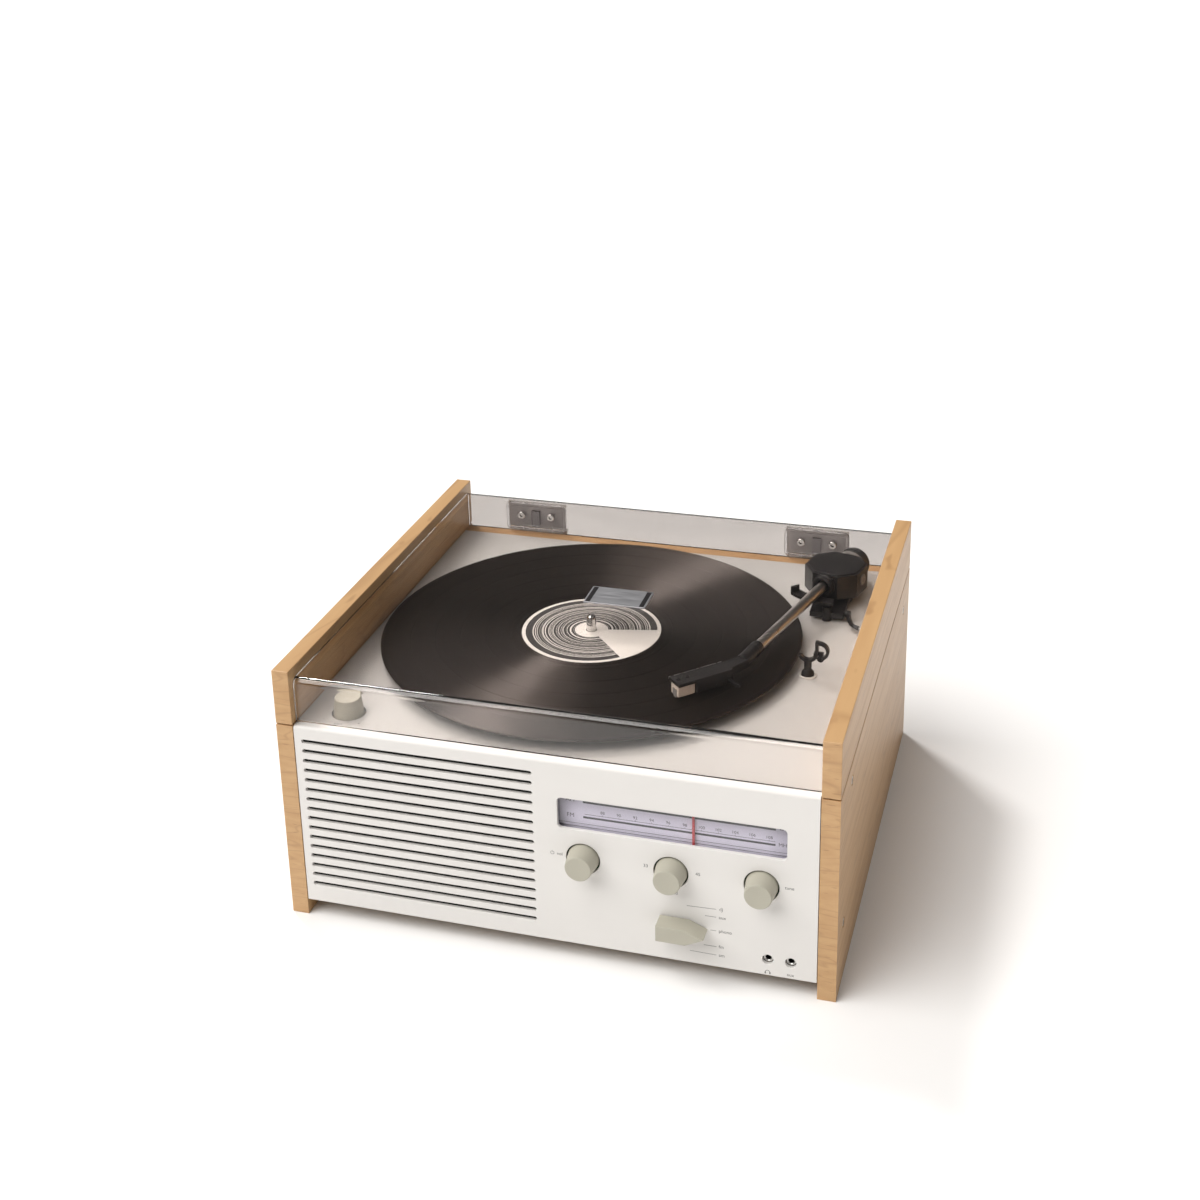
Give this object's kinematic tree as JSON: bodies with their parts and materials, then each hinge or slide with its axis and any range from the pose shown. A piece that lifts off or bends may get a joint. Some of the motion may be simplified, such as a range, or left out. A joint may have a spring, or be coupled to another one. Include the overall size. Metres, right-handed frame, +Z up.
{
  "type": "radio phonograph console",
  "caption": "Tabletop record player with radio: wooden side panels, white front with slots, dial and knobs, and a hinged clear lid between wooden cheeks.",
  "frame": {"origin": "middle of the whole object's footprint, on the surface that the side panels stand on", "axes": "+X to the right seen from the front, +Y to the back, +Z up"},
  "size_m": [0.376, 0.356, 0.186],
  "materials": {
    "maple": "satin lacquered veneer",
    "white_paint": "satin white",
    "smoked_acrylic": "lightly smoked, clear, glossy",
    "clear_plastic": "clear, glossy",
    "knob_plastic": "matte moulded grey",
    "black_plastic": "satin moulded black",
    "vinyl": "glossy, finely grooved",
    "aluminium": "satin",
    "chrome": "polished",
    "steel": "zinc plated",
    "paper": "printed, uncoated",
    "dial_print": "printed pale lilac",
    "red_plastic": "satin",
    "cream_plastic": "satin",
    "fibreboard": "raw",
    "circuit_board": "solder mask",
    "rubber": "ground"
  },
  "bodies": {
    "cabinet": {"side_panel_left": "maple", "side_panel_right": "maple", "side_screw_left_front_top": "steel", "side_screw_left_front_low": "steel", "side_screw_left_back_top": "steel", "side_screw_right_front_top": "steel", "side_screw_right_front_low": "steel", "side_screw_right_back_top": "steel", "bottom_board": "fibreboard", "rear_panel": "maple", "front_fascia": "white_paint", "deck_plate": "white_paint", "dial_lens": "clear_plastic", "dial_plate": "dial_print", "pointer_rail": "steel", "volume_control": "steel", "speed_switch": "steel", "tuning_capacitor": "clear_plastic", "band_switch": "black_plastic", "headphone_jack": "black_plastic", "aux_jack": "black_plastic", "main_board": "circuit_board", "speaker_frame": "steel", "speaker_cone": "black_plastic", "platter_bearing": "steel", "motor": "steel", "drive_belt": "rubber", "tonearm_base": "black_plastic", "arm_rest": "black_plastic", "terminal_plate": "black_plastic", "speaker_socket_left": "chrome", "speaker_socket_right": "chrome", "power_inlet": "black_plastic", "cabinet_hinge_leaf_left": "steel", "cabinet_hinge_leaf_right": "steel"},
    "lid": {"lid_cover": "smoked_acrylic", "lid_cheek_left": "maple", "lid_cheek_right": "maple", "lid_hinge_leaf_left": "steel", "lid_hinge_leaf_right": "steel", "lid_badge": "aluminium"},
    "turntable": {"platter": "aluminium", "record": "vinyl", "record_label": "paper", "spindle": "chrome"},
    "motor_shaft": {"motor_pulley": "aluminium"},
    "volume": {"volume_knob": "knob_plastic"},
    "speed": {"speed_knob": "knob_plastic"},
    "tuning": {"tuning_knob": "knob_plastic"},
    "pointer": {"dial_pointer": "red_plastic"},
    "selector": {"selector_knob": "knob_plastic"},
    "pitch": {"pitch_knob": "knob_plastic"},
    "arm_carrier": {"arm_housing": "black_plastic"},
    "tonearm": {"arm_tube": "aluminium", "counterweight": "black_plastic", "headshell": "black_plastic", "cartridge": "cream_plastic"},
    "cue": {"cue_lever": "black_plastic"},
    "lift": {"lift_platform": "black_plastic"},
    "latch": {"rest_latch": "black_plastic"}
  },
  "joints": [
    {"name": "lid_hinge", "type": "hinge", "parent": "cabinet", "child": "lid", "pos_m": [0, 0.1753, 0.1492], "axis": [-1, 0, 0], "range_deg": [0, 75]},
    {"name": "platter_spin", "type": "hinge", "parent": "cabinet", "child": "turntable", "pos_m": [-0.0174, -0.0037, 0.15], "axis": [0, 0, 1], "continuous": true},
    {"name": "pulley_spin", "type": "hinge", "parent": "cabinet", "child": "motor_shaft", "pos_m": [-0.0966, 0.0755, 0.147], "axis": [0, 0, 1], "continuous": true},
    {"name": "volume_turn", "type": "hinge", "parent": "cabinet", "child": "volume", "pos_m": [0.023, -0.17, 0.0773], "axis": [0, 1, 0], "range_deg": [-150, 150]},
    {"name": "speed_turn", "type": "hinge", "parent": "cabinet", "child": "speed", "pos_m": [0.0812, -0.17, 0.0773], "axis": [0, 1, 0], "range_deg": [0, 90]},
    {"name": "tuning_turn", "type": "hinge", "parent": "cabinet", "child": "tuning", "pos_m": [0.1396, -0.17, 0.0773], "axis": [0, 1, 0], "range_deg": [-620, 506]},
    {"name": "pointer_slide", "type": "slide", "parent": "cabinet", "child": "pointer", "axis": [1, 0, 0], "range_m": [-0.065, 0.053]},
    {"name": "selector_turn", "type": "hinge", "parent": "cabinet", "child": "selector", "pos_m": [0.0846, -0.17, 0.0395], "axis": [0, 1, 0], "range_deg": [-60, 60]},
    {"name": "pitch_turn", "type": "hinge", "parent": "cabinet", "child": "pitch", "pos_m": [-0.1468, -0.1379, 0.15], "axis": [0, 0, 1], "range_deg": [-135, 135]},
    {"name": "arm_swing", "type": "hinge", "parent": "cabinet", "child": "arm_carrier", "pos_m": [0.141, 0.107, 0.165], "axis": [0, 0, 1], "range_deg": [-17, 14.7]},
    {"name": "arm_lift", "type": "hinge", "parent": "arm_carrier", "child": "tonearm", "pos_m": [0.141, 0.107, 0.1666], "axis": [-0.9681, 0.2504, 0], "range_deg": [0, 1.6]},
    {"name": "cue_lever_turn", "type": "hinge", "parent": "cabinet", "child": "cue", "pos_m": [0.1556, 0.0725, 0.1515], "axis": [-1, 0, 0], "range_deg": [0, 50]},
    {"name": "lift_slide", "type": "slide", "parent": "cabinet", "child": "lift", "axis": [0, 0, 1], "range_m": [0, 0.0011]},
    {"name": "latch_turn", "type": "hinge", "parent": "cabinet", "child": "latch", "pos_m": [0.1509, -0.0166, 0.1625], "axis": [0, 1, 0], "range_deg": [-90, 0]}
  ],
  "couplings": [
    {"joint": "pulley_spin", "follows": "platter_spin", "ratio": 17.3},
    {"joint": "pointer_slide", "follows": "tuning_turn", "m_per_rad": 0.006},
    {"joint": "cue_lever_turn", "follows": "arm_lift", "ratio": 31.2},
    {"joint": "lift_slide", "follows": "arm_lift", "m_per_rad": 0.0393}
  ]
}
